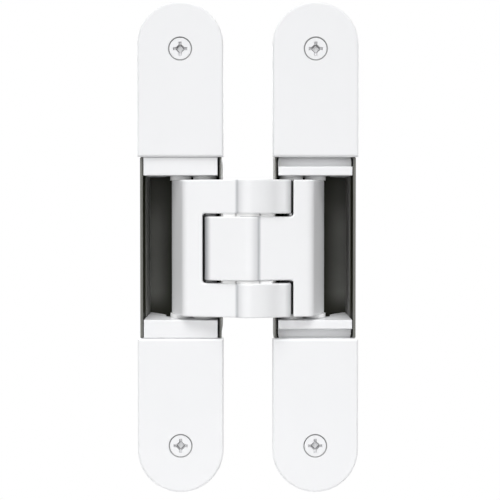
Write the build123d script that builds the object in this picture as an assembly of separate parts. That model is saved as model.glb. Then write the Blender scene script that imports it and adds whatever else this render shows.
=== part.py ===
from build123d import *
import os
from math import atan2, cos, degrees, radians, sin, sqrt, tan

# A concealed door hinge, opened flat, in millimetres.
# The frame leaf is on the right and the door leaf on the left, both facing -Y, with the long way along Z.
# The origin lies on the frame leaf's seating plane, in the middle of its four fixing screws.
# A depth is measured from the front face of the cover plates, into the wood.

# Leaves
LEAF_LENGTH = 160.0
LEAF_WIDTH = 28.0
LEAF_GAP = 16.0
COVER_THICKNESS = 3.0
COVER_EDGE_ROUND = 0.8
COVER_OVERHANG = 0.8
HOUSING_WALL = 0.8
SEAT_DEPTH = 11.0
TRAY_FLOOR = 3.0
POCKET_FLOOR = 1.5
POCKET_CORNER = 8.8
POCKET_EDGE_ROUND = 1.0
RAIL_SETBACK = 1.2
RAIL_END_GAP = 0.3
RAIL_LIP = 1.2
WALL_RELIEF = 0.35
WALL_RELIEF_DEPTH = 14.0

# Link mechanism: the places of its axes from the pocket's inner wall, with the hinge opened flat
PIVOT_EDGE = 4.8
PIVOT_DEPTH = 8.5
SLIDE_EDGE = 12.9
SLIDE_DEPTH = 9.8
KNUCKLE_DEPTH = -2.0
CLOSED_GAP = 5.0
HEIGHT_TRAVEL = 3.0
PATH_STEPS = 4

# Arms
ARM_HEIGHT = 44.4
ARM_EDGE_ROUND = 0.5
KNUCKLE_RADIUS = 4.5
BARREL_RADIUS = 4.0
SLIDE_BOSS_RADIUS = 3.0
CREASE_OFFSET = 3.6
SPINE_SLOPE = 11.5
SPINE_CORNER_RADIUS = 3.6
LIMB_SLOPE = 66.0
LIMB_THICKNESS = 5.0
ARMPIT_RADIUS = 1.5
CAST_RADIUS = 0.6
LUG_SLOPE = 13.0
LUG_END = 14.0
LUG_CREST_RADIUS = 2.8
LUG_HEIGHT = 20.55
LUG_END_GAP = 0.7
LUG_CORNER_RADIUS = 1.0
LEG_ROOT_RADIUS = 0.6
RAIL_CLEARANCE = 0.6

# Pins, bushes, shoes and washers
PIVOT_PIN_RADIUS = 2.5
SLIDE_PIN_RADIUS = 2.0
CENTRE_PIN_RADIUS = 2.5
CENTRE_PIN_RECESS = 0.4
BUSH_RADIUS = 3.4
BUSH_LENGTH = 8.0
BUSH_FLANGE_RADIUS = 3.9
SHOE_RADIUS = 2.8
SHOE_LENGTH = 7.0
SHOE_FLANGE_RADIUS = 3.5
FLANGE_THICKNESS = 1.35
WASHER_RADIUS = 8.4
WASHER_THICKNESS = 0.9
WASHER_INSET = 0.4
SLIT_OFFSET = 3.85
SLIT_WIDTH = 0.6
SLIT_END = 1.2
CENTRE_BUSH_WALL = 0.9

# Bearing blocks
BLOCK_HEIGHT = 12.35
STEP_HEIGHT = 2.9
BLOCK_SETBACK = 1.0
BLOCK_SIDE_GAP = 0.3
BLOCK_EDGE_ROUND = 0.3
BLOCK_BACK_GAP = 0.3
FLARE_HEIGHT = 1.5
FLARE_NEAR_EDGE = 7.4
FLARE_NEAR_BACK = 11.7
FLARE_MIDDLE_EDGE = 4.5
FLARE_MIDDLE_BACK = 5.5
FLARE_FAR_BACK = 0.8
STEP_DEPTH = 4.8
EAR_WIDTH = 16.0
EAR_END_WALL = 1.2

# Screws
COVER_SCREW_SPACING = 129.4
COVER_SCREW_RADIUS = 2.0
COVER_SCREW_HEAD_RADIUS = 3.5
COVER_SCREW_LENGTH = 9.0
COVER_SCREW_SETBACK = 0.15
CROSS_SPAN = 4.6
CROSS_WIDTH = 1.0
CROSS_WING_DEPTH = 0.8
CROSS_CENTRE = 2.6
CROSS_DEPTH = 1.3
CROSS_TAPER = 20.0
SCREW_BOSS_RADIUS = 3.8
CLAMP_SCREW_RADIUS = 2.0
CLAMP_HEAD_RADIUS = 3.5
CLAMP_HEAD_HEIGHT = 1.3
CLAMP_SOCKET_WIDTH = 3.0
CLAMP_SOCKET_SIDES = 6
CLAMP_SOCKET_DEPTH = 0.9
CLAMP_EDGE = 3.6
FIXING_EDGE = 5.4
FIXING_SPACING_Z = 117.0
FIXING_HOLE_RADIUS = 2.6
FIXING_SINK_RADIUS = 4.6

# Fits, as clearances on the radius or on one face
TIGHT_FIT = 0.02
RUNNING_FIT = 0.05
SLOT_FIT = 0.12
SCREW_FIT = 0.2
SINK_RING = 0.3
AXIAL_PLAY = 0.1
FACE_PLAY = 0.05
END_CLEARANCE = 0.1
PIN_END_GAP = 0.4

# Sizes that follow from those above
LEAF_PITCH = LEAF_WIDTH + LEAF_GAP
HALF_PITCH = LEAF_PITCH / 2
HOUSING_WIDTH = LEAF_WIDTH - 2 * COVER_OVERHANG
HOUSING_LENGTH = LEAF_LENGTH - 2 * COVER_OVERHANG
POCKET_WIDTH = HOUSING_WIDTH - 2 * HOUSING_WALL
PIVOT_OFFSET = POCKET_WIDTH / 2 - PIVOT_EDGE
SLIDE_OFFSET = POCKET_WIDTH / 2 - SLIDE_EDGE
FIXING_SPACING_X = POCKET_WIDTH - 2 * FIXING_EDGE
TRAY_DEPTH = SEAT_DEPTH - TRAY_FLOOR
CUT_EDGE = LUG_END + LUG_END_GAP
CUT_HALF = LUG_HEIGHT / 2 + WASHER_THICKNESS + AXIAL_PLAY
BLOCK_FACE = ARM_HEIGHT / 2 + FLANGE_THICKNESS + AXIAL_PLAY
BLOCK_END = BLOCK_FACE + BLOCK_HEIGHT
BLOCK_WIDTH = POCKET_WIDTH - 2 * BLOCK_SIDE_GAP
FRAME_STEP_EDGE = BLOCK_FACE + STEP_HEIGHT
DOOR_STEP_EDGE = FRAME_STEP_EDGE + HEIGHT_TRAVEL
WINDOW_LENGTH = 2 * (DOOR_STEP_EDGE + END_CLEARANCE)
DOOR_POCKET_HALF = BLOCK_END + BLOCK_SIDE_GAP
FRAME_POCKET_HALF = DOOR_POCKET_HALF + HEIGHT_TRAVEL
MID_PLANE = Plane.YZ.offset(-HALF_PITCH)
STANDING = (Align.CENTER, Align.CENTER, Align.MIN)


def leaf_point(offset, depth):
    """A place in the frame leaf, with its offset from the leaf's middle towards the other leaf."""
    return Vector(-offset, depth - SEAT_DEPTH)


PIVOT = leaf_point(PIVOT_OFFSET, PIVOT_DEPTH)
SLIDE = leaf_point(SLIDE_OFFSET, SLIDE_DEPTH)
KNUCKLE = leaf_point(HALF_PITCH, KNUCKLE_DEPTH)
ARM_LENGTH = (KNUCKLE - PIVOT).length
CLOSED_REACH = PIVOT_DEPTH + CLOSED_GAP / 2
CLOSED_SHIFT = sqrt(ARM_LENGTH**2 - CLOSED_REACH**2)
OPEN_BEARING = degrees(atan2(KNUCKLE.Y - PIVOT.Y, KNUCKLE.X - PIVOT.X))
CLOSED_BEARING = degrees(atan2(-CLOSED_REACH, CLOSED_SHIFT))
ARM_TURN = CLOSED_BEARING - OPEN_BEARING


def turned(vector, angle):
    """A plan vector turned about Z by an angle in degrees."""
    return vector.rotate(Axis.Z, angle)


def slide_at(part_closed):
    """Where the slide pin stands in the frame leaf, from 0 for opened flat to 1 for closed.

    The arm on its pivot turns by ARM_TURN, and the sliding arm by the rest of the half turn."""
    knuckle = PIVOT + turned(KNUCKLE - PIVOT, ARM_TURN * part_closed)
    return knuckle + turned(SLIDE - KNUCKLE, (180 - ARM_TURN) * part_closed)


SLIDE_CLOSED = slide_at(1)
POCKET_DEPTH = SLIDE_CLOSED.Y + SEAT_DEPTH + SHOE_FLANGE_RADIUS + BLOCK_BACK_GAP
BLOCK_BACK = POCKET_DEPTH - BLOCK_BACK_GAP


def slab(outline, near, far):
    """A plate with an outline in X and Z, between two depths."""
    face = Plane.XZ.offset(SEAT_DEPTH - near) * outline
    return extrude(face, amount=far - near, dir=(0, 1, 0))


def rod(centre, radius, bottom, top):
    """An upright round bar about a plan point."""
    return Pos(centre.X, centre.Y, bottom) * Cylinder(radius, top - bottom, align=STANDING)


def sunk_hole(x, z, radius, sink_radius, near, far):
    """The space of a countersunk screw hole from the front, at right angles in its cone."""
    sink = sink_radius - radius
    cone = Cone(sink_radius, radius, sink, align=STANDING)
    shank = Cylinder(radius, far - near, align=STANDING)
    return Pos(x, near - SEAT_DEPTH, z) * Rot(X=-90) * (cone + shank)


def clamp_height(pocket_half):
    """How far a clamp screw stands from the middle of the hinge."""
    return pocket_half + CLAMP_EDGE


def to_door(shape):
    """The same piece on the other leaf."""
    return mirror(shape, about=MID_PLANE)


def to_lower(shape):
    """The same piece at the lower end."""
    return mirror(shape, about=Plane.XY)


# Housings: a shallow tray with round ends, and a deep pocket in its middle
def housing(pocket_half):
    outer_corner = POCKET_CORNER + HOUSING_WALL
    tray = SlotOverall(HOUSING_LENGTH, HOUSING_WIDTH, rotation=90)
    pocket = RectangleRounded(HOUSING_WIDTH, 2 * (pocket_half + HOUSING_WALL), outer_corner)
    rails = Rectangle(HOUSING_WIDTH, WINDOW_LENGTH - 2 * RAIL_END_GAP)
    deep = slab(pocket, COVER_THICKNESS, POCKET_DEPTH + POCKET_FLOOR)
    deep = fillet(deep.faces().sort_by(Axis.Y)[-1].edges(), POCKET_EDGE_ROUND)
    body = slab(tray, COVER_THICKNESS, SEAT_DEPTH) + deep + slab(rails, RAIL_SETBACK, COVER_THICKNESS)
    tray_space = SlotOverall(HOUSING_LENGTH - 2 * HOUSING_WALL, POCKET_WIDTH, rotation=90)
    pocket_space = RectangleRounded(POCKET_WIDTH, 2 * pocket_half, POCKET_CORNER)
    body -= slab(tray_space, RAIL_SETBACK, TRAY_DEPTH)
    body -= slab(pocket_space, RAIL_SETBACK, POCKET_DEPTH)
    relief = Rectangle(WALL_RELIEF, WINDOW_LENGTH - 2 * RAIL_END_GAP)
    relief_middle = (POCKET_WIDTH + WALL_RELIEF) / 2
    body -= slab(Pos(-relief_middle, 0) * relief, RAIL_SETBACK, WALL_RELIEF_DEPTH)
    body -= slab(Pos(relief_middle, 0) * relief, RAIL_SETBACK + RAIL_LIP, WALL_RELIEF_DEPTH)
    for end in (-1, 1):
        boss = Pos(0, end * COVER_SCREW_SPACING / 2) * Circle(SCREW_BOSS_RADIUS)
        body += slab(boss, COVER_THICKNESS, TRAY_DEPTH)
        thread = Pos(0, end * COVER_SCREW_SPACING / 2) * Circle(COVER_SCREW_RADIUS + TIGHT_FIT)
        body -= slab(thread, COVER_THICKNESS, SEAT_DEPTH)
        clamp = Pos(0, end * clamp_height(pocket_half)) * Circle(CLAMP_SCREW_RADIUS + TIGHT_FIT)
        body -= slab(clamp, TRAY_DEPTH, SEAT_DEPTH)
        for side in (-1, 1):
            x = side * FIXING_SPACING_X / 2
            z = end * FIXING_SPACING_Z / 2
            body -= sunk_hole(x, z, FIXING_HOLE_RADIUS, FIXING_SINK_RADIUS, TRAY_DEPTH, SEAT_DEPTH)
    return body


# Cover plates: flush, with a round end and one countersunk screw each
def cover():
    end_centre = (LEAF_LENGTH - LEAF_WIDTH) / 2
    near_end = WINDOW_LENGTH / 2
    straight = Pos(0, (end_centre + near_end) / 2) * Rectangle(LEAF_WIDTH, end_centre - near_end)
    outline = straight + Pos(0, end_centre) * Circle(LEAF_WIDTH / 2)
    plate = slab(outline, 0, COVER_THICKNESS)
    plate = fillet(plate.faces().sort_by(Axis.Y)[0].edges(), COVER_EDGE_ROUND)
    hole = COVER_SCREW_RADIUS + SCREW_FIT
    sink = COVER_SCREW_HEAD_RADIUS + COVER_SCREW_SETBACK + SINK_RING
    return plate - sunk_hole(0, COVER_SCREW_SPACING / 2, hole, sink, 0, COVER_THICKNESS)


def cover_screw():
    head_height = COVER_SCREW_HEAD_RADIUS - COVER_SCREW_RADIUS
    screw = Cone(COVER_SCREW_HEAD_RADIUS, COVER_SCREW_RADIUS, head_height, align=STANDING)
    screw += Cylinder(COVER_SCREW_RADIUS, COVER_SCREW_LENGTH, align=STANDING)
    screw -= extrude(Rectangle(CROSS_SPAN, CROSS_WIDTH), amount=CROSS_WING_DEPTH, taper=CROSS_TAPER)
    screw -= extrude(Rectangle(CROSS_WIDTH, CROSS_SPAN), amount=CROSS_WING_DEPTH, taper=CROSS_TAPER)
    core = Rectangle(CROSS_CENTRE, CROSS_CENTRE, rotation=45)
    screw -= extrude(core, amount=CROSS_DEPTH, taper=CROSS_TAPER)
    return Pos(0, COVER_SCREW_SETBACK - SEAT_DEPTH, COVER_SCREW_SPACING / 2) * Rot(X=-90) * screw


# Bearing blocks: each carries a pivot bush, a curved guide slot and an ear that is clamped in the tray
def guide_slot():
    """The plan of the slot: two arcs along the slide pin's path, open at the back of the block."""
    width = 2 * (SHOE_RADIUS + SLOT_FIT)
    path = [slide_at(step / PATH_STEPS) for step in range(PATH_STEPS + 1)]
    slot = SlotArc(ThreePointArc(*path[:3]), width) + SlotArc(ThreePointArc(*path[-3:]), width)
    run_out = BLOCK_BACK - SLIDE_CLOSED.Y - SEAT_DEPTH
    mouth = Rectangle(width, run_out, align=(Align.CENTER, Align.MIN))
    return slot + Pos(SLIDE_CLOSED.X, SLIDE_CLOSED.Y) * mouth


def slot_flare():
    """The plan of a shallow relief from the slot to the outer corner, under the swing of the arm's foot."""
    near = leaf_point(FLARE_NEAR_EDGE - POCKET_WIDTH / 2, BLOCK_BACK - FLARE_NEAR_BACK)
    middle = leaf_point(FLARE_MIDDLE_EDGE - POCKET_WIDTH / 2, BLOCK_BACK - FLARE_MIDDLE_BACK)
    far = leaf_point(-BLOCK_WIDTH / 2, BLOCK_BACK - FLARE_FAR_BACK)
    back = BLOCK_BACK - SEAT_DEPTH
    edge = Polyline(far, (far.X, back), (SLIDE_CLOSED.X, back), SLIDE, near)
    return make_face(ThreePointArc(near, middle, far) + edge)


def bearing_block(step_edge, pocket_half, ear_travel):
    ear_slot_half = ear_travel + END_CLEARANCE
    screw_hole = CLAMP_SCREW_RADIUS + SCREW_FIT
    ear_end = clamp_height(pocket_half) + ear_slot_half + screw_hole + EAR_END_WALL
    plain = Pos(0, BLOCK_FACE + BLOCK_HEIGHT / 2) * Rectangle(BLOCK_WIDTH, BLOCK_HEIGHT)
    outline = fillet(plain.vertices().group_by(Axis.Y)[-1], POCKET_CORNER - BLOCK_SIDE_GAP)
    block = slab(outline, STEP_DEPTH, BLOCK_BACK)
    lip_height = step_edge - BLOCK_FACE
    lip_outline = Pos(0, BLOCK_FACE + lip_height / 2) * Rectangle(BLOCK_WIDTH, lip_height)
    lip = slab(lip_outline, BLOCK_SETBACK, STEP_DEPTH)
    lip = fillet(lip.faces().sort_by(Axis.Y)[0].edges(), BLOCK_EDGE_ROUND)
    ear_start = BLOCK_FACE + BLOCK_HEIGHT / 2
    ear_outline = Pos(0, (ear_start + ear_end) / 2) * Rectangle(EAR_WIDTH, ear_end - ear_start)
    ear_outline = fillet(ear_outline.vertices().group_by(Axis.Y)[-1], screw_hole)
    block += lip + slab(ear_outline, STEP_DEPTH, TRAY_DEPTH - FACE_PLAY)
    screw_slot = SlotCenterToCenter(2 * ear_slot_half, 2 * screw_hole, rotation=90)
    block -= slab(Pos(0, clamp_height(pocket_half)) * screw_slot, STEP_DEPTH, TRAY_DEPTH)
    block -= rod(PIVOT, BUSH_RADIUS + TIGHT_FIT, BLOCK_FACE, BLOCK_FACE + BUSH_LENGTH + PIN_END_GAP)
    slot_floor = BLOCK_FACE + SHOE_LENGTH + PIN_END_GAP
    block -= extrude(Pos(0, 0, BLOCK_FACE) * guide_slot(), amount=slot_floor - BLOCK_FACE)
    return block - extrude(Pos(0, 0, BLOCK_FACE) * slot_flare(), amount=FLARE_HEIGHT)


def clamp_screw(pocket_half):
    head = Cylinder(CLAMP_HEAD_RADIUS, CLAMP_HEAD_HEIGHT, align=STANDING)
    hexagon = RegularPolygon(CLAMP_SOCKET_WIDTH / 2, CLAMP_SOCKET_SIDES, major_radius=False)
    socket = extrude(hexagon, amount=CLAMP_SOCKET_DEPTH)
    length = SEAT_DEPTH - STEP_DEPTH
    shank = Pos(0, 0, CLAMP_HEAD_HEIGHT) * Cylinder(CLAMP_SCREW_RADIUS, length, align=STANDING)
    near = STEP_DEPTH - FACE_PLAY - CLAMP_HEAD_HEIGHT
    return Pos(0, near - SEAT_DEPTH, clamp_height(pocket_half)) * Rot(X=-90) * (head - socket + shank)


# Arms: a fork and a tongue with the same plan, mirrored, crossing at the centre pin
def arm_outline():
    """The tongue arm's plan, with its spine over the frame leaf and its leg down into the door leaf."""
    slide = SLIDE - KNUCKLE
    pivot_reach = HALF_PITCH - PIVOT_OFFSET
    pivot_drop = PIVOT.Y - KNUCKLE.Y
    back = RAIL_SETBACK - RAIL_CLEARANCE - KNUCKLE_DEPTH
    spine_slope = tan(radians(SPINE_SLOPE))
    along = Vector(cos(radians(LIMB_SLOPE)), sin(radians(LIMB_SLOPE)))
    across = Vector(along.Y, -along.X)
    crease = Vector(CREASE_OFFSET, -sqrt(KNUCKLE_RADIUS**2 - CREASE_OFFSET**2))
    foot_outside = slide + across * SLIDE_BOSS_RADIUS
    foot_inside = foot_outside - across * LIMB_THICKNESS
    fall = foot_outside.Y - crease.Y - (foot_outside.X - crease.X) * spine_slope
    corner = foot_outside - along * (fall / (along.Y - along.X * spine_slope))
    armpit = foot_inside - along * ((foot_inside.Y - back) / along.Y)
    spine = make_face(
        Polyline((0, 0), crease, corner, foot_outside, foot_inside, armpit, (0, back), close=True)
    )
    spine = fillet(spine.vertices().sort_by_distance(corner)[0], SPINE_CORNER_RADIUS)
    spine = fillet(spine.vertices().sort_by_distance(armpit)[0], ARMPIT_RADIUS)
    lug_slope = radians(LUG_SLOPE)
    lug_start = Vector(-sin(lug_slope), -cos(lug_slope)) * KNUCKLE_RADIUS
    crest = Vector(-LUG_END, lug_start.Y + (LUG_END + lug_start.X) * tan(lug_slope))
    leg_inside = BARREL_RADIUS - pivot_reach
    leg_root = Vector(leg_inside, back)
    leg_foot = Vector(leg_inside, pivot_drop)
    lug = make_face(
        Polyline((0, 0), lug_start, crest, (-LUG_END, pivot_drop), leg_foot, leg_root, (0, back), close=True)
    )
    lug = fillet(lug.vertices().sort_by_distance(crest)[0], LUG_CREST_RADIUS)
    lug = fillet(lug.vertices().sort_by_distance(leg_root)[0], LEG_ROOT_RADIUS)
    knuckle = Circle(KNUCKLE_RADIUS)
    barrel = Pos(-pivot_reach, pivot_drop) * Circle(BARREL_RADIUS)
    slide_boss = Pos(slide.X, slide.Y) * Circle(SLIDE_BOSS_RADIUS)
    outline = knuckle + spine + lug + barrel + slide_boss
    knuckle_edge = sqrt(KNUCKLE_RADIUS**2 - back**2)
    barrel_top = pivot_drop - sqrt(BARREL_RADIUS**2 - (pivot_reach - LUG_END) ** 2)
    boss_meet = slide - across * (LIMB_THICKNESS - SLIDE_BOSS_RADIUS)
    boss_meet -= along * sqrt(SLIDE_BOSS_RADIUS**2 - (LIMB_THICKNESS - SLIDE_BOSS_RADIUS) ** 2)
    inner_corners = [
        crease,
        Vector(knuckle_edge, back),
        Vector(-knuckle_edge, back),
        Vector(-LUG_END, barrel_top),
        boss_meet,
    ]
    for place in inner_corners:
        outline = fillet(outline.vertices().sort_by_distance(place)[0], CAST_RADIUS)
    return Pos(KNUCKLE.X, KNUCKLE.Y) * outline


OUTLINE = arm_outline()
DOOR_PIVOT = Vector(-LEAF_PITCH - PIVOT.X, PIVOT.Y)
DOOR_SLIDE = Vector(-LEAF_PITCH - SLIDE.X, SLIDE.Y)


def bore(centre, radius):
    """The space for a pin or bush that is held in an arm, from end to end."""
    return rod(centre, radius + TIGHT_FIT, -ARM_HEIGHT, ARM_HEIGHT)


def soften(arm):
    """Rounds the edges of an arm's lugs and then of its flat ends, as a casting's are."""
    lugs = arm.faces().filter_by(Axis.Z).group_by(Axis.Z)[1:-1]
    lug_edges = [edge for flat in lugs for edge in flat.edges().filter_by(Axis.Y, reverse=True)]
    arm = fillet(lug_edges, ARM_EDGE_ROUND)
    flats = arm.faces().filter_by(Axis.Z).group_by(Axis.Z)
    return fillet((flats[0] + flats[-1]).edges(), ARM_EDGE_ROUND)


def fork_arm():
    arm = extrude(to_door(OUTLINE), amount=ARM_HEIGHT / 2, both=True)
    cut_length = 2 * LEAF_PITCH
    cut = RectangleRounded(cut_length, 2 * CUT_HALF, LUG_CORNER_RADIUS)
    cut_centre = KNUCKLE.X - CUT_EDGE + cut_length / 2
    arm -= slab(Pos(cut_centre, 0) * cut, -LEAF_PITCH, LEAF_PITCH)
    arm = soften(arm)
    arm -= bore(KNUCKLE, CENTRE_PIN_RADIUS)
    return arm - bore(PIVOT, PIVOT_PIN_RADIUS) - bore(DOOR_SLIDE, SLIDE_PIN_RADIUS)


def tongue_arm():
    arm = extrude(OUTLINE, amount=ARM_HEIGHT / 2, both=True)
    cut_length = 2 * LEAF_PITCH
    cut = RectangleRounded(cut_length, ARM_HEIGHT, LUG_CORNER_RADIUS)
    cut_centre = KNUCKLE.X + CUT_EDGE - cut_length / 2
    for end in (-1, 1):
        place = Pos(cut_centre, end * (LUG_HEIGHT + ARM_HEIGHT) / 2)
        arm -= slab(place * cut, -LEAF_PITCH, LEAF_PITCH)
    arm = soften(arm)
    arm += rod(DOOR_PIVOT, BARREL_RADIUS, -ARM_HEIGHT / 2, ARM_HEIGHT / 2)
    arm -= bore(KNUCKLE, CENTRE_PIN_RADIUS + RUNNING_FIT + CENTRE_BUSH_WALL)
    return arm - bore(DOOR_PIVOT, PIVOT_PIN_RADIUS) - bore(SLIDE, SLIDE_PIN_RADIUS)


fork = fork_arm()
tongue = tongue_arm()


# Pins, bushes, shoes and washers
def pivot_pin(centre):
    half = BLOCK_FACE + BUSH_LENGTH
    return rod(centre, PIVOT_PIN_RADIUS, -half, half)


def slide_pin(centre):
    half = BLOCK_FACE + SHOE_LENGTH
    return rod(centre, SLIDE_PIN_RADIUS, -half, half)


def pivot_bush():
    """The upper flanged bush in the frame leaf's block, with its flange against the block."""
    top = BLOCK_FACE + BUSH_LENGTH
    bottom = BLOCK_FACE - FLANGE_THICKNESS
    bush = rod(PIVOT, BUSH_FLANGE_RADIUS, bottom, BLOCK_FACE) + rod(PIVOT, BUSH_RADIUS, bottom, top)
    return bush - rod(PIVOT, PIVOT_PIN_RADIUS + RUNNING_FIT, bottom, top)


def slide_shoe():
    """The upper flanged shoe on the tongue arm's slide pin, with its flange against the arm."""
    bottom = ARM_HEIGHT / 2
    top = BLOCK_FACE + SHOE_LENGTH
    shoe = rod(SLIDE, SHOE_FLANGE_RADIUS, bottom, bottom + FLANGE_THICKNESS)
    shoe += rod(SLIDE, SHOE_RADIUS, bottom, top)
    return shoe - rod(SLIDE, SLIDE_PIN_RADIUS + TIGHT_FIT, bottom, top)


def centre_washer():
    """The upper slide washer, held back inside the outline that both arms share and slit at the creases."""
    shared = OUTLINE & to_door(OUTLINE) & Pos(KNUCKLE.X, KNUCKLE.Y) * Circle(WASHER_RADIUS)
    plan = offset(shared, amount=-WASHER_INSET)
    slit = Rectangle(SLIT_WIDTH, KNUCKLE_RADIUS, align=(Align.CENTER, Align.MAX))
    for side in (-1, 1):
        plan -= Pos(KNUCKLE.X + side * SLIT_OFFSET, KNUCKLE.Y - SLIT_END) * slit
    washer = extrude(Pos(0, 0, CUT_HALF - WASHER_THICKNESS) * plan, amount=WASHER_THICKNESS)
    return washer - rod(KNUCKLE, CENTRE_PIN_RADIUS + TIGHT_FIT, 0, ARM_HEIGHT)


def centre_bush():
    half = LUG_HEIGHT / 2
    inside = CENTRE_PIN_RADIUS + RUNNING_FIT
    bush = rod(KNUCKLE, inside + CENTRE_BUSH_WALL, -half, half)
    return bush - rod(KNUCKLE, inside, -half, half)


def centre_pin():
    half = ARM_HEIGHT / 2 - CENTRE_PIN_RECESS
    return rod(KNUCKLE, CENTRE_PIN_RADIUS, -half, half)


frame_block = bearing_block(FRAME_STEP_EDGE, FRAME_POCKET_HALF, HEIGHT_TRAVEL)
door_block = to_door(bearing_block(DOOR_STEP_EDGE, DOOR_POCKET_HALF, 0))
frame_clamp = clamp_screw(FRAME_POCKET_HALF)
door_clamp = to_door(clamp_screw(DOOR_POCKET_HALF))

nodes = {
    "frame_housing": housing(FRAME_POCKET_HALF),
    "frame_upper_cover": cover(),
    "frame_lower_cover": to_lower(cover()),
    "frame_cover_screws": cover_screw() + to_lower(cover_screw()),
    "frame_clamp_screws": frame_clamp + to_lower(frame_clamp),
    "frame_upper_block": frame_block,
    "frame_lower_block": to_lower(frame_block),
    "frame_upper_bush": pivot_bush(),
    "frame_lower_bush": to_lower(pivot_bush()),
    "fork_arm": fork,
    "fork_pivot_pin": pivot_pin(PIVOT),
    "fork_slide_pin": slide_pin(DOOR_SLIDE),
    "fork_upper_shoe": to_door(slide_shoe()),
    "fork_lower_shoe": to_door(to_lower(slide_shoe())),
    "centre_pin": centre_pin(),
    "upper_washer": centre_washer(),
    "lower_washer": to_lower(centre_washer()),
    "tongue_arm": tongue,
    "centre_bush": centre_bush(),
    "tongue_pivot_pin": pivot_pin(DOOR_PIVOT),
    "tongue_slide_pin": slide_pin(SLIDE),
    "tongue_upper_shoe": slide_shoe(),
    "tongue_lower_shoe": to_lower(slide_shoe()),
    "door_housing": to_door(housing(DOOR_POCKET_HALF)),
    "door_upper_cover": to_door(cover()),
    "door_lower_cover": to_door(to_lower(cover())),
    "door_cover_screws": to_door(cover_screw() + to_lower(cover_screw())),
    "door_clamp_screws": door_clamp + to_lower(door_clamp),
    "door_upper_block": door_block,
    "door_lower_block": to_lower(door_block),
    "door_upper_bush": to_door(pivot_bush()),
    "door_lower_bush": to_door(to_lower(pivot_bush())),
}

os.makedirs("parts", exist_ok=True)
for name, shape in nodes.items():
    export_step(shape, f"parts/{name}.step")
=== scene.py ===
import bpy
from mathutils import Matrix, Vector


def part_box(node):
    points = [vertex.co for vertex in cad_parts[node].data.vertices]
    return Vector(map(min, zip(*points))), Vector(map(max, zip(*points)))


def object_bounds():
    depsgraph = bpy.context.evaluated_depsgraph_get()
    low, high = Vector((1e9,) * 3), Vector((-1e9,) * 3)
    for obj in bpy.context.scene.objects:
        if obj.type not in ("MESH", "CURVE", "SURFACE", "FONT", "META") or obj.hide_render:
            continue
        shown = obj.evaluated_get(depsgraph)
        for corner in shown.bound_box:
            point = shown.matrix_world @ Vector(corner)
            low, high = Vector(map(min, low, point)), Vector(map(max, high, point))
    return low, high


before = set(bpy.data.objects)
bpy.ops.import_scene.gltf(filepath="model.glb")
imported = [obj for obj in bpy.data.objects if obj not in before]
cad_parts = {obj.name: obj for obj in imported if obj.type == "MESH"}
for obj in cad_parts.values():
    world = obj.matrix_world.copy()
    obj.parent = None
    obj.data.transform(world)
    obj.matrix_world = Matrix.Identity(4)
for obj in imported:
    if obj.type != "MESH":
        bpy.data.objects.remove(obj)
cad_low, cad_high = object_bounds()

ZINC_COLOR = (0.186, 0.187, 0.172, 1.0)
ZINC_SHADE = (0.153, 0.155, 0.143, 1.0)
ZINC_ROUGHNESS = (0.42, 0.58)
ZINC_SPECULAR = 0.2
ZINC_GRAIN = 0.0007
ZINC_PATCH = 0.009
ZINC_BUMP = 0.00003
GRAIN_DETAIL = 3.0
PATCH_DETAIL = 2.0

# A pair of limits says where a mask starts to rise and where it is full. The second may be the lower one.
# Painted shade in the pockets: the colour and the limits of the darkening of their floors and undercuts.
POCKET_SHADE_COLOR = (0.012, 0.0125, 0.004, 1.0)
POCKET_SHADE_INWARD = (0.033, 0.026)
POCKET_SHADE_TOP = (0.004, 0.018)
POCKET_SHADE_TOP_SHARE = 0.65
POCKET_SHADE_FOOT = (-0.0155, -0.0235)
POCKET_SHADE_FOOT_SHARE = 0.85
POCKET_SHADE_DEPTH = (0.011, 0.014)
FRONT_FACING = (-0.3, -0.7)
MIDDLE_FACING = (0.3, 0.7)
UNDERCUT_WALL = (0.03445, 0.03460)
UNDERCUT_DEPTH = (-0.0089, -0.0085)
# Painted light: the colour and the limits of the lightening of the pockets' outer walls below their
# undercuts.
WALL_LIGHT_COLOR = (0.40, 0.40, 0.39, 1.0)
LIT_WALL_PLACE = (0.0300, 0.0305)
LIT_WALL_DEPTH = (0.002, 0.0035)
MIDDLE = (cad_low + cad_high) / 2


def feed(tree, value, socket):
    """Gives a socket a plain value, or links another node's output to it."""
    if isinstance(value, bpy.types.NodeSocket):
        tree.links.new(value, socket)
    else:
        socket.default_value = value


def math_node(tree, operation, *values):
    """One step of arithmetic, on one value or two."""
    made = tree.nodes.new("ShaderNodeMath")
    made.operation = operation
    for socket, value in zip(made.inputs, values):
        feed(tree, value, socket)
    return made.outputs[0]


def product_node(tree, first, *others):
    """The product of two values or more."""
    for value in others:
        first = math_node(tree, "MULTIPLY", first, value)
    return first


def rest_node(tree, mask):
    """What a mask leaves: 1 where it is 0, and 0 where it is 1."""
    return math_node(tree, "SUBTRACT", 1.0, mask)


def fade_node(tree, value, start, full):
    """A smooth mask that is 0 at one value and 1 at another."""
    made = tree.nodes.new("ShaderNodeMapRange")
    made.interpolation_type = "SMOOTHSTEP"
    made.inputs["From Min"].default_value = start
    made.inputs["From Max"].default_value = full
    tree.links.new(value, made.inputs["Value"])
    return made.outputs["Result"]


def noise_node(tree, place, scale, detail):
    """Soft cloudy noise from 0 to 1, finer as the scale grows."""
    made = tree.nodes.new("ShaderNodeTexNoise")
    for socket, value in (("Vector", place), ("Scale", scale), ("Detail", detail)):
        feed(tree, value, made.inputs[socket])
    return made.outputs["Fac"]


def color_node(tree, mask, first, second):
    """A colour that goes from the first to the second as a mask rises."""
    made = tree.nodes.new("ShaderNodeMix")
    made.data_type = "RGBA"
    for socket, value in (("Factor", mask), ("A", first), ("B", second)):
        feed(tree, value, made.inputs[socket])
    return made.outputs["Result"]


def bump_node(tree, height, distance):
    """A relief that stands as far out as a height times a distance."""
    made = tree.nodes.new("ShaderNodeBump")
    made.inputs["Distance"].default_value = distance
    tree.links.new(height, made.inputs["Height"])
    return made


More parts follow.
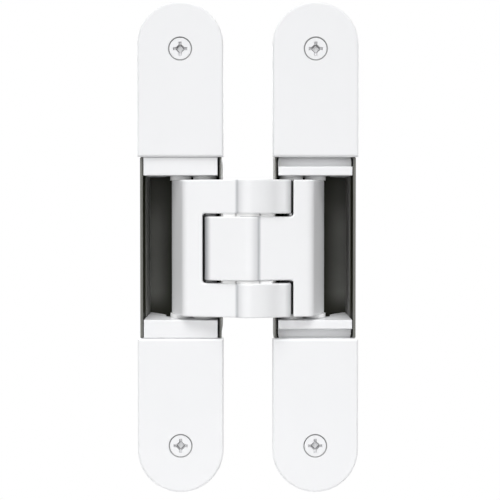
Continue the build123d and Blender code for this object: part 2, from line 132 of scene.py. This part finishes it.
def node_group(name, outputs, inputs=()):
    """An empty shader group with float outputs and inputs of these names, and its output node."""
    group = bpy.data.node_groups.new(name, "ShaderNodeTree")
    for in_out, sockets in (("INPUT", inputs), ("OUTPUT", outputs)):
        for socket in sockets:
            group.interface.new_socket(socket, in_out=in_out, socket_type="NodeSocketFloat")
    return group, group.nodes.new("NodeGroupOutput")


def effect_node(tree, effect, sizes):
    """The outputs of an effect that is placed in a material with its own sizes."""
    made = tree.nodes.new("ShaderNodeGroup")
    made.node_tree = effect
    for socket, value in sizes.items():
        made.inputs[socket].default_value = value
    return made.outputs


def finish_material(name, effect, sizes, mask, colors, roughness, relief, bump, plain):
    """A surface whose colour and roughness follow one output of an effect and whose bump follows another.
    The plain values are the same all over it."""
    material = bpy.data.materials.new(name)
    material.use_nodes = True
    tree = material.node_tree
    shader = tree.nodes["Principled BSDF"].inputs
    for socket, value in plain.items():
        shader[socket].default_value = value
    surface = effect_node(tree, effect, sizes)
    tree.links.new(color_node(tree, surface[mask], *colors), shader["Base Color"])
    gloss = tree.nodes.new("ShaderNodeMapRange")
    gloss.inputs["To Min"].default_value, gloss.inputs["To Max"].default_value = roughness
    tree.links.new(surface[mask], gloss.inputs["Value"])
    tree.links.new(gloss.outputs["Result"], shader["Roughness"])
    tree.links.new(bump_node(tree, surface[relief], bump).outputs["Normal"], shader["Normal"])
    return material


def mix_painted_shading(material, effect, color):
    """Mixes a colour of painted light or painted shade into a finish, where an effect's mask says so."""
    tree = material.node_tree
    base = tree.nodes["Principled BSDF"].inputs["Base Color"]
    mask = effect_node(tree, effect, {})["Mask"]
    tree.links.new(color_node(tree, mask, base.links[0].from_socket, color), base)


def dress(material, *names):
    """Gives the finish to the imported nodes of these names."""
    for name in names:
        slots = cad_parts[name].data.materials
        slots.clear()
        slots.append(material)


def make_cast_skin():
    """Fine grain and soft patches, as a cast or sprayed surface has. The sizes are in metres."""
    group, out = node_group("cast_skin", ("Grain", "Patches"), ("Grain Size", "Patch Size"))
    given = group.nodes.new("NodeGroupInput")
    place = group.nodes.new("ShaderNodeTexCoord").outputs["Object"]
    for size, detail, result in (
        ("Grain Size", GRAIN_DETAIL, "Grain"), ("Patch Size", PATCH_DETAIL, "Patches")
    ):
        scale = math_node(group, "DIVIDE", 1.0, given.outputs[size])
        group.links.new(noise_node(group, place, scale, detail), out.inputs[result])
    return group


def surface_parts(tree, kind):
    """X, Y and Z of a point's place (Object), or of the way that its surface faces (Normal)."""
    coordinates = tree.nodes.new("ShaderNodeTexCoord")
    made = tree.nodes.new("ShaderNodeSeparateXYZ")
    tree.links.new(coordinates.outputs[kind], made.inputs["Vector"])
    return made.outputs


def off_middle_node(tree, point):
    """How far a point lies from the plane midway between the leaves."""
    return math_node(tree, "ABSOLUTE", math_node(tree, "SUBTRACT", point["X"], MIDDLE.x))


def to_middle_node(tree, point, facing):
    """A mask for the walls that face the plane midway between the leaves."""
    side = math_node(tree, "SIGN", math_node(tree, "SUBTRACT", MIDDLE.x, point["X"]))
    return fade_node(tree, product_node(tree, side, facing["X"]), *MIDDLE_FACING)


def make_pocket_painted_shade():
    """A mask of painted shade for the pockets' floors, which darken inwards from the outer walls towards the
    arms and towards both ends, and for the undercuts in those walls, which are painted dark as the lips
    shade them."""
    group, out = node_group("pocket_painted_shade", ("Mask",))
    point = surface_parts(group, "Object")
    facing = surface_parts(group, "Normal")
    off_middle = off_middle_node(group, point)
    unshaded = rest_node(group, fade_node(group, off_middle, *POCKET_SHADE_INWARD))
    for limits, share in ((POCKET_SHADE_TOP, POCKET_SHADE_TOP_SHARE), (POCKET_SHADE_FOOT, POCKET_SHADE_FOOT_SHARE)):
        end = product_node(group, fade_node(group, point["Z"], *limits), share)
        unshaded = product_node(group, unshaded, rest_node(group, end))
    deep = fade_node(group, point["Y"], *POCKET_SHADE_DEPTH)
    front = fade_node(group, facing["Y"], *FRONT_FACING)
    floors = product_node(group, deep, front, rest_node(group, unshaded))
    cut_back = fade_node(group, off_middle, *UNDERCUT_WALL)
    behind_lip = fade_node(group, point["Y"], *UNDERCUT_DEPTH)
    undercuts = product_node(group, to_middle_node(group, point, facing), cut_back, behind_lip)
    group.links.new(math_node(group, "MAXIMUM", floors, undercuts), out.inputs["Mask"])
    return group


def make_painted_wall_light():
    """A mask of painted light for the outer walls of the pockets below their undercuts, which are lightened
    to stand for the light that falls on them.
    """
    group, out = node_group("painted_wall_light", ("Mask",))
    point = surface_parts(group, "Object")
    facing = surface_parts(group, "Normal")
    outer = fade_node(group, off_middle_node(group, point), *LIT_WALL_PLACE)
    below = fade_node(group, point["Y"], *LIT_WALL_DEPTH)
    walls = product_node(group, to_middle_node(group, point, facing), outer, below)
    group.links.new(walls, out.inputs["Mask"])
    return group


CAST_SKIN = make_cast_skin()
zinc = finish_material(
    "passivated_zinc", CAST_SKIN, {"Grain Size": ZINC_GRAIN, "Patch Size": ZINC_PATCH},
    "Patches", (ZINC_SHADE, ZINC_COLOR), ZINC_ROUGHNESS, "Grain", ZINC_BUMP,
    {"Specular IOR Level": ZINC_SPECULAR}
)
# Painted shade: the pockets' floors darken towards the arms and both ends, and the undercuts under the lips
# are dark, where these parts shade them.
mix_painted_shading(zinc, make_pocket_painted_shade(), POCKET_SHADE_COLOR)
# Painted light: the outer walls of the pockets below their undercuts are lightened to stand for the light
# that falls on them.
mix_painted_shading(zinc, make_painted_wall_light(), WALL_LIGHT_COLOR)
dress(zinc, "frame_housing", "door_housing")

# Clamp screws: short socket screws of bright steel that hold the bearing blocks' ears in the housings.
# Their heads are turned and their sockets are pressed.
STEEL_COLOR = (0.42, 0.42, 0.43, 1.0)
STEEL_SHADE = (0.34, 0.34, 0.35, 1.0)
STEEL_ROUGHNESS = (0.2, 0.36)
STEEL_BUMP = 0.000004
LINE_PITCH = 0.00006
LINE_STRETCH = (0.03, 0.03, 1.0)
LINE_DETAIL = 2.0
BAND_SCALE = 400.0


def make_ground_lines():
    """Fine lines across one direction of a ground or turned bar, and a slow change along it."""
    group, out = node_group("ground_lines", ("Lines", "Bands"), ("Line Pitch",))
    given = group.nodes.new("NodeGroupInput")
    place = group.nodes.new("ShaderNodeTexCoord")
    stretch = group.nodes.new("ShaderNodeMapping")
    stretch.inputs["Scale"].default_value = LINE_STRETCH
    group.links.new(place.outputs["Object"], stretch.inputs["Vector"])
    line_scale = math_node(group, "DIVIDE", 1.0, given.outputs["Line Pitch"])
    for scale, result in ((line_scale, "Lines"), (BAND_SCALE, "Bands")):
        noise = noise_node(group, stretch.outputs["Vector"], scale, LINE_DETAIL)
        group.links.new(noise, out.inputs[result])
    return group


steel = finish_material(
    "ground_steel", make_ground_lines(), {"Line Pitch": LINE_PITCH},
    "Bands", (STEEL_SHADE, STEEL_COLOR), STEEL_ROUGHNESS, "Lines", STEEL_BUMP, {"Metallic": 1.0}
)
dress(steel, "frame_clamp_screws", "door_clamp_screws")

# Bearing blocks: the castings in the ends of each pocket, with a pivot bore and a curved guide slot.
# They are zinc with a white satin powder coat, and their ears are clamped in the housing.
WHITE_COLOR = (0.872, 0.876, 0.888, 1.0)
WHITE_SHADE = (0.847, 0.852, 0.865, 1.0)
WHITE_ROUGHNESS = (0.30, 0.38)
WHITE_SPECULAR = 0.3
WHITE_PATCH = 0.02
BLOCK_GRAIN = 0.0009
BLOCK_BUMP = 0.000015


def white_coat(name, grain, bump, colors=(WHITE_SHADE, WHITE_COLOR)):
    """A white powder coat with an orange-peel grain of this size."""
    return finish_material(
        name, CAST_SKIN, {"Grain Size": grain, "Patch Size": WHITE_PATCH},
        "Patches", colors, WHITE_ROUGHNESS, "Grain", bump, {"Specular IOR Level": WHITE_SPECULAR}
    )


block_coat = white_coat("white_block_coat", BLOCK_GRAIN, BLOCK_BUMP)
for leaf in ("frame", "door"):
    dress(block_coat, f"{leaf}_upper_block", f"{leaf}_lower_block")

# Bushes and shoes: the flanged plain bearings of the pivots, and the round shoes in the guide slots.
# They are moulded in white acetal, and are pressed into the blocks or onto the slide pins.
ACETAL_COLOR = (0.89, 0.89, 0.89, 1.0)
ACETAL_SHADE = (0.86, 0.86, 0.86, 1.0)
ACETAL_ROUGHNESS = (0.38, 0.48)
ACETAL_GRAIN = 0.00025
ACETAL_PATCH = 0.006
ACETAL_BUMP = 0.000006

acetal = finish_material(
    "white_acetal", CAST_SKIN, {"Grain Size": ACETAL_GRAIN, "Patch Size": ACETAL_PATCH},
    "Patches", (ACETAL_SHADE, ACETAL_COLOR), ACETAL_ROUGHNESS, "Grain", ACETAL_BUMP, {}
)
for leaf in ("frame", "door"):
    dress(acetal, f"{leaf}_upper_bush", f"{leaf}_lower_bush")
for arm in ("fork", "tongue"):
    dress(acetal, f"{arm}_upper_shoe", f"{arm}_lower_shoe")

# Pins: the pivot, slide and centre pins, ground from bright steel bar.
# Each one is pressed into an arm, and turns in a bush or carries a shoe at each end.
dress(steel, "fork_pivot_pin", "fork_slide_pin", "tongue_pivot_pin", "tongue_slide_pin", "centre_pin")

# Centre bush and washers: acetal, moulded with the bushes.
# The bush lines the tongue arm's knuckle, and a washer keeps each of the fork arm's lugs off it.
dress(acetal, "centre_bush", "upper_washer", "lower_washer")

# Arms: the fork and the tongue, which cross on the centre pin.
# They are cast in zinc with soft edges, and are powder coated white before the pins go in.
ARM_COLOR = (0.905, 0.909, 0.920, 1.0)
ARM_SHADE = (0.882, 0.887, 0.899, 1.0)
ARM_GRAIN = 0.0011
ARM_BUMP = 0.000012
LUG_LEVEL = 0.0108
# Painted shade in the creases between the spines and the knuckle.
CREASE_SHADE_COLOR = (0.59, 0.60, 0.62, 1.0)
CREASE_PLACE = 0.0035
CREASE_WIDTH = (0.0009, 0.0001)
CREASE_SHOULDER = (0.0028, 0.0003)
SHOULDER_SHARE = 0.34
# Painted shade at the lugs' rounded ends.
LUG_END_SHADE_COLOR = (0.40, 0.405, 0.42, 1.0)
LUG_END_PLACE = (0.0116, 0.0139)
FORK_END_SHARE = 0.35
# Painted shade in the narrow gaps at the lugs' ends.
GAP_SHADE_COLOR = (0.08, 0.08, 0.08, 1.0)
GAP_START = (0.01385, 0.01395)
GAP_END = (0.0152, 0.0150)
GAP_DEPTH = (-0.01255, -0.0120)
GAP_BACK = (0.5, 0.3)
GAP_LEVEL = (0.7, 0.5)

# The swell falls ever more steeply from its start to its peak, and flattens from there to its end.
SWELL_START = 0.0005
SWELL_PEAK = 0.0080
SWELL_END = 0.01435
SWELL_CURVE = 54.0
SWELL_BACK = 60.0
SWELL_DISTANCE = 1.0
TONGUE_SWELL = 0.25


def lug_nodes(tree):
    """Which lug a point is level with, 1 for the fork's and -1 for the tongue's, and how far along it is.
    The fork's lugs reach to the right, above and below the washers.
    The tongue's lug reaches to the left, between the washers."""
    point = surface_parts(tree, "Object")
    rise = math_node(tree, "SUBTRACT", math_node(tree, "ABSOLUTE", point["Z"]), LUG_LEVEL)
    side = math_node(tree, "SIGN", rise)
    return side, product_node(tree, side, math_node(tree, "SUBTRACT", point["X"], MIDDLE.x))


def share_node(tree, side, fork, tongue):
    """One value on the fork's lugs and another on the tongue's."""
    half_step = math_node(tree, "MULTIPLY", side, (fork - tongue) / 2)
    return math_node(tree, "ADD", half_step, (fork + tongue) / 2)


def square_node(tree, value):
    """A value times itself."""
    return math_node(tree, "POWER", value, 2.0)


def past_node(tree, value, start):
    """How far a value is past a start, and 0 before it."""
    return math_node(tree, "MAXIMUM", math_node(tree, "SUBTRACT", value, start), 0.0)


def make_crease_painted_shade():
    """A mask of painted shade for the creases where the spines meet the knuckle, on the side that has no
    lug, with a softer shade on the knuckle beside them.
    """
    group, out = node_group("crease_painted_shade", ("Mask",))
    reach = lug_nodes(group)[1]
    past_crease = math_node(group, "ADD", reach, CREASE_PLACE)
    line = fade_node(group, math_node(group, "ABSOLUTE", past_crease), *CREASE_WIDTH)
    lug_side = math_node(group, "GREATER_THAN", past_crease, 0.0)
    shoulder = product_node(group, fade_node(group, past_crease, *CREASE_SHOULDER), lug_side, SHOULDER_SHARE)
    group.links.new(math_node(group, "MAXIMUM", line, shoulder), out.inputs["Mask"])
    return group


def make_lug_end_painted_shade():
    """A mask of painted shade for the rounded ends of the lugs, which are darkened where they turn away from
    the light.
    """
    group, out = node_group("lug_end_painted_shade", ("Mask",))
    side, reach = lug_nodes(group)
    near_end = fade_node(group, reach, *LUG_END_PLACE)
    on_lug = math_node(group, "LESS_THAN", reach, SWELL_END)
    ends = product_node(group, near_end, on_lug, share_node(group, side, FORK_END_SHARE, 1.0))
    group.links.new(ends, out.inputs["Mask"])
    return group


def make_gap_painted_shade():
    """A mask of painted shade for the walls of the narrow gaps at the lugs' ends, where little light
    reaches.
    """
    group, out = node_group("gap_painted_shade", ("Mask",))
    point = surface_parts(group, "Object")
    facing = surface_parts(group, "Normal")
    off_middle = off_middle_node(group, point)
    level = math_node(group, "ABSOLUTE", facing["Z"])
    gaps = product_node(group, *(fade_node(group, value, *limits) for value, limits in (
        (off_middle, GAP_START), (off_middle, GAP_END), (point["Y"], GAP_DEPTH),
        (facing["Y"], GAP_BACK), (level, GAP_LEVEL)
    )))
    group.links.new(gaps, out.inputs["Mask"])
    return group


def make_lug_swell():
    """The height of the lugs' faces, which fall away in a soft curve from the knuckle."""
    group, out = node_group("lug_swell", ("Height",))
    side, reach = lug_nodes(group)
    on_lug = math_node(group, "LESS_THAN", reach, SWELL_END)
    along = product_node(group, past_node(group, reach, SWELL_START), on_lug)
    before_peak = math_node(group, "MINIMUM", along, SWELL_PEAK)
    past_peak = past_node(group, along, SWELL_PEAK)
    fall = product_node(group, square_node(group, before_peak), -SWELL_CURVE / 2)
    steepest = product_node(group, past_peak, -SWELL_CURVE * SWELL_PEAK)
    flatter = product_node(group, square_node(group, past_peak), SWELL_BACK / 2)
    height = math_node(group, "ADD", math_node(group, "ADD", fall, steepest), flatter)
    share = share_node(group, side, 1.0, TONGUE_SWELL)
    group.links.new(product_node(group, height, share), out.inputs["Height"])
    return group


arm_coat = white_coat("white_arm_coat", ARM_GRAIN, ARM_BUMP, (ARM_SHADE, ARM_COLOR))
# Painted shade in the creases.
mix_painted_shading(arm_coat, make_crease_painted_shade(), CREASE_SHADE_COLOR)
# Painted shade at the lugs' rounded ends.
mix_painted_shading(arm_coat, make_lug_end_painted_shade(), LUG_END_SHADE_COLOR)
# Painted shade in the narrow gaps at the lugs' ends.
mix_painted_shading(arm_coat, make_gap_painted_shade(), GAP_SHADE_COLOR)
arm_tree = arm_coat.node_tree
arm_grain = arm_tree.nodes["Principled BSDF"].inputs["Normal"].links[0].from_node
arm_swell = bump_node(arm_tree, effect_node(arm_tree, make_lug_swell(), {})["Height"], SWELL_DISTANCE)
arm_tree.links.new(arm_swell.outputs["Normal"], arm_grain.inputs["Normal"])
dress(arm_coat, "fork_arm", "tongue_arm")

# Covers: flush plates with a round end that hide the fixing screws.
# They are cast in zinc, powder coated white, and each is held by one countersunk screw.
COVER_GRAIN = 0.0012
COVER_BUMP = 0.000010
COVER_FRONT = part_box("frame_upper_cover")[0].y
# Painted shade in the countersinks round the screw heads.
SINK_SHADE_COLOR = (0.40, 0.40, 0.405, 1.0)
SINK_RADIUS = (0.00396, 0.00386)
SINK_DEPTH = (0.00001, 0.00006)
SCREW_OFFSET_X = 0.022
SCREW_OFFSET_Z = 0.0647


def screw_radius_node(tree, point):
    """How far a point lies from the axis of the nearest cover screw."""
    across = math_node(tree, "SUBTRACT", off_middle_node(tree, point), SCREW_OFFSET_X)
    height = math_node(tree, "SUBTRACT", math_node(tree, "ABSOLUTE", point["Z"]), SCREW_OFFSET_Z)
    squares = math_node(tree, "ADD", square_node(tree, across), square_node(tree, height))
    return math_node(tree, "SQRT", squares)


def make_sink_painted_shade():
    """A mask of painted shade for the screws' countersinks, which are darkened to stand for the shade in the
    narrow gap round each head.
    """
    group, out = node_group("sink_painted_shade", ("Mask",))
    point = surface_parts(group, "Object")
    inside = fade_node(group, screw_radius_node(group, point), *SINK_RADIUS)
    depth = math_node(group, "SUBTRACT", point["Y"], COVER_FRONT)
    sinks = product_node(group, inside, fade_node(group, depth, *SINK_DEPTH))
    group.links.new(sinks, out.inputs["Mask"])
    return group


cover_coat = white_coat("white_cover_coat", COVER_GRAIN, COVER_BUMP)
# Painted shade in the countersinks round the screw heads.
mix_painted_shading(cover_coat, make_sink_painted_shade(), SINK_SHADE_COLOR)
for leaf in ("frame", "door"):
    dress(cover_coat, f"{leaf}_upper_cover", f"{leaf}_lower_cover")

# Cover screws: countersunk screws with a cross recess, lacquered white to match the covers.
# They go through the covers into bosses in the housings.
LACQUER_GRAIN = 0.0004
LACQUER_BUMP = 0.000006
# Painted shade in the screws' recesses, lighter at their shallow ends.
RECESS_SHADE_COLOR = (0.27, 0.27, 0.277, 1.0)
FLANK_FACING = (-0.95, -0.8)
RECESS_END = (0.0009, 0.0018)
RECESS_RIM = (0.0030, 0.0027)
SHALLOW_END_LIGHT = 0.6


def make_recess_painted_shade():
    """A mask of painted shade for the sides of the screws' heads and recesses, where little light falls.
    The painted shade is lighter at the shallow ends of the recesses."""
    group, out = node_group("recess_painted_shade", ("Mask",))
    radius = screw_radius_node(group, surface_parts(group, "Object"))
    flanks = fade_node(group, surface_parts(group, "Normal")["Y"], *FLANK_FACING)
    ends = product_node(
        group, fade_node(group, radius, *RECESS_END), fade_node(group, radius, *RECESS_RIM), SHALLOW_END_LIGHT
    )
    group.links.new(product_node(group, flanks, rest_node(group, ends)), out.inputs["Mask"])
    return group


screw_coat = white_coat("white_screw_lacquer", LACQUER_GRAIN, LACQUER_BUMP)
# Painted shade in the screws' recesses.
mix_painted_shading(screw_coat, make_recess_painted_shade(), RECESS_SHADE_COLOR)
dress(screw_coat, "frame_cover_screws", "door_cover_screws")

# Stage: a pale round floor well below the hinge, which a wall would hold up.
# It fades to white at its rim, and the world behind it is white to the eye and a soft fill to the object.
import bmesh

FLOOR_DROP = 0.12
FLOOR_RADIUS = 0.33
FLOOR_SIDES = 96
FLOOR_COLOR = (0.9, 0.9, 0.9, 1.0)
FLOOR_ROUGHNESS = 0.9
FLOOR_FADE = (0.1155, FLOOR_RADIUS)
WORLD_COLOR = (1.0, 1.0, 1.0, 1.0)
FILL_STRENGTH = 0.06

floor_mesh = bpy.data.meshes.new("floor")
floor = bpy.data.objects.new("floor", floor_mesh)
bpy.context.collection.objects.link(floor)
floor.location = (MIDDLE.x, MIDDLE.y, cad_low.z - FLOOR_DROP)
disc = bmesh.new()
bmesh.ops.create_circle(disc, cap_ends=True, segments=FLOOR_SIDES, radius=FLOOR_RADIUS)
disc.to_mesh(floor_mesh)
disc.free()


def choose_shader(tree, mask, first, second, output):
    """Shows one shader where a mask is 0 and another where it is 1."""
    choice = tree.nodes.new("ShaderNodeMixShader")
    for socket, value in zip(choice.inputs, (mask, first.outputs[0], second.outputs[0])):
        tree.links.new(value, socket)
    tree.links.new(choice.outputs["Shader"], tree.nodes[output].inputs["Surface"])


paper = bpy.data.materials.new("floor_paper")
paper.use_nodes = True
paper_tree = paper.node_tree
sheet = paper_tree.nodes["Principled BSDF"]
sheet.inputs["Base Color"].default_value = FLOOR_COLOR
sheet.inputs["Roughness"].default_value = FLOOR_ROUGHNESS
floor_place = paper_tree.nodes.new("ShaderNodeTexCoord")
floor_reach = paper_tree.nodes.new("ShaderNodeVectorMath")
floor_reach.operation = "LENGTH"
paper_tree.links.new(floor_place.outputs["Object"], floor_reach.inputs[0])
floor_rim = fade_node(paper_tree, floor_reach.outputs["Value"], *FLOOR_FADE)
rim_white = paper_tree.nodes.new("ShaderNodeEmission")
choose_shader(paper_tree, floor_rim, sheet, rim_white, "Material Output")
floor_mesh.materials.append(paper)

world = bpy.data.worlds.new("studio")
bpy.context.scene.world = world
world.use_nodes = True
world_tree = world.node_tree
fill = world_tree.nodes["Background"]
fill.inputs["Color"].default_value = WORLD_COLOR
fill.inputs["Strength"].default_value = FILL_STRENGTH
backdrop = world_tree.nodes.new("ShaderNodeBackground")
backdrop.inputs["Color"].default_value = WORLD_COLOR
ray = world_tree.nodes.new("ShaderNodeLightPath").outputs
mirrored = math_node(world_tree, "MAXIMUM", ray["Is Glossy Ray"], ray["Is Transmission Ray"])
seen = math_node(world_tree, "MAXIMUM", ray["Is Camera Ray"], mirrored)
choose_shader(world_tree, seen, fill, backdrop, "World Output")

# Lamps: soft boxes round the hinge. The top one is large, hangs over the front and gives most of the light.
# The front one reaches into the pockets, and the left and right ones shape the arms.
# The three at the rear light the backs and the sides of the housings.
from mathutils import Vector

LAMPS = (  # name, place from the middle of the hinge, width, height and power
    ("front_lamp", (0.0, -0.9, 0.15), 0.6, 0.6, 2.4),
    ("top_lamp", (0.0, -1.4, 2.63), 1.6, 1.4, 70.0),
    ("left_lamp", (-0.75, -0.63, 0.17), 0.5, 0.8, 1.9),
    ("right_lamp", (0.75, -0.63, 0.17), 0.5, 0.8, 1.1),
    ("left_rear_lamp", (-0.75, 0.55, 0.15), 0.5, 0.5, 3.2),
    ("right_rear_lamp", (0.75, 0.55, 0.15), 0.5, 0.5, 3.2),
    ("rear_lamp", (0.0, 0.9, 0.2), 0.6, 0.6, 3.0),
)

for name, place, width, height, power in LAMPS:
    lamp = bpy.data.lights.new(name, "AREA")
    lamp.shape = "RECTANGLE"
    lamp.size = width
    lamp.size_y = height
    lamp.energy = power
    soft_box = bpy.data.objects.new(name, lamp)
    bpy.context.collection.objects.link(soft_box)
    soft_box.location = MIDDLE + Vector(place)
    soft_box.rotation_euler = (-Vector(place)).to_track_quat("-Z", "Y").to_euler()

# Camera: almost square on to the covers, from a little above the middle.
# The lens is shifted down a little, to frame the hinge as it is framed in the photograph.
from math import radians

LENS = 71.3
SENSOR_WIDTH = 36.0
EYE_DISTANCE = 0.322
EYE_HEIGHT = 0.014
LEVEL_ANGLE = 90.0
EYE_TILT = 1.15
SHIFT_X = 0.0041
SHIFT_Y = -0.0502
CLIP_START = 0.0322

camera_data = bpy.data.cameras.new("camera")
camera_data.lens = LENS
camera_data.sensor_width = SENSOR_WIDTH
camera_data.shift_x = SHIFT_X
camera_data.shift_y = SHIFT_Y
camera_data.clip_start = CLIP_START
camera = bpy.data.objects.new("camera", camera_data)
bpy.context.collection.objects.link(camera)
camera.location = (MIDDLE.x, COVER_FRONT - EYE_DISTANCE, EYE_HEIGHT)
camera.rotation_euler = (radians(LEVEL_ANGLE - EYE_TILT), 0.0, 0.0)
bpy.context.scene.camera = camera
bpy.context.scene.view_settings.view_transform = "Standard"
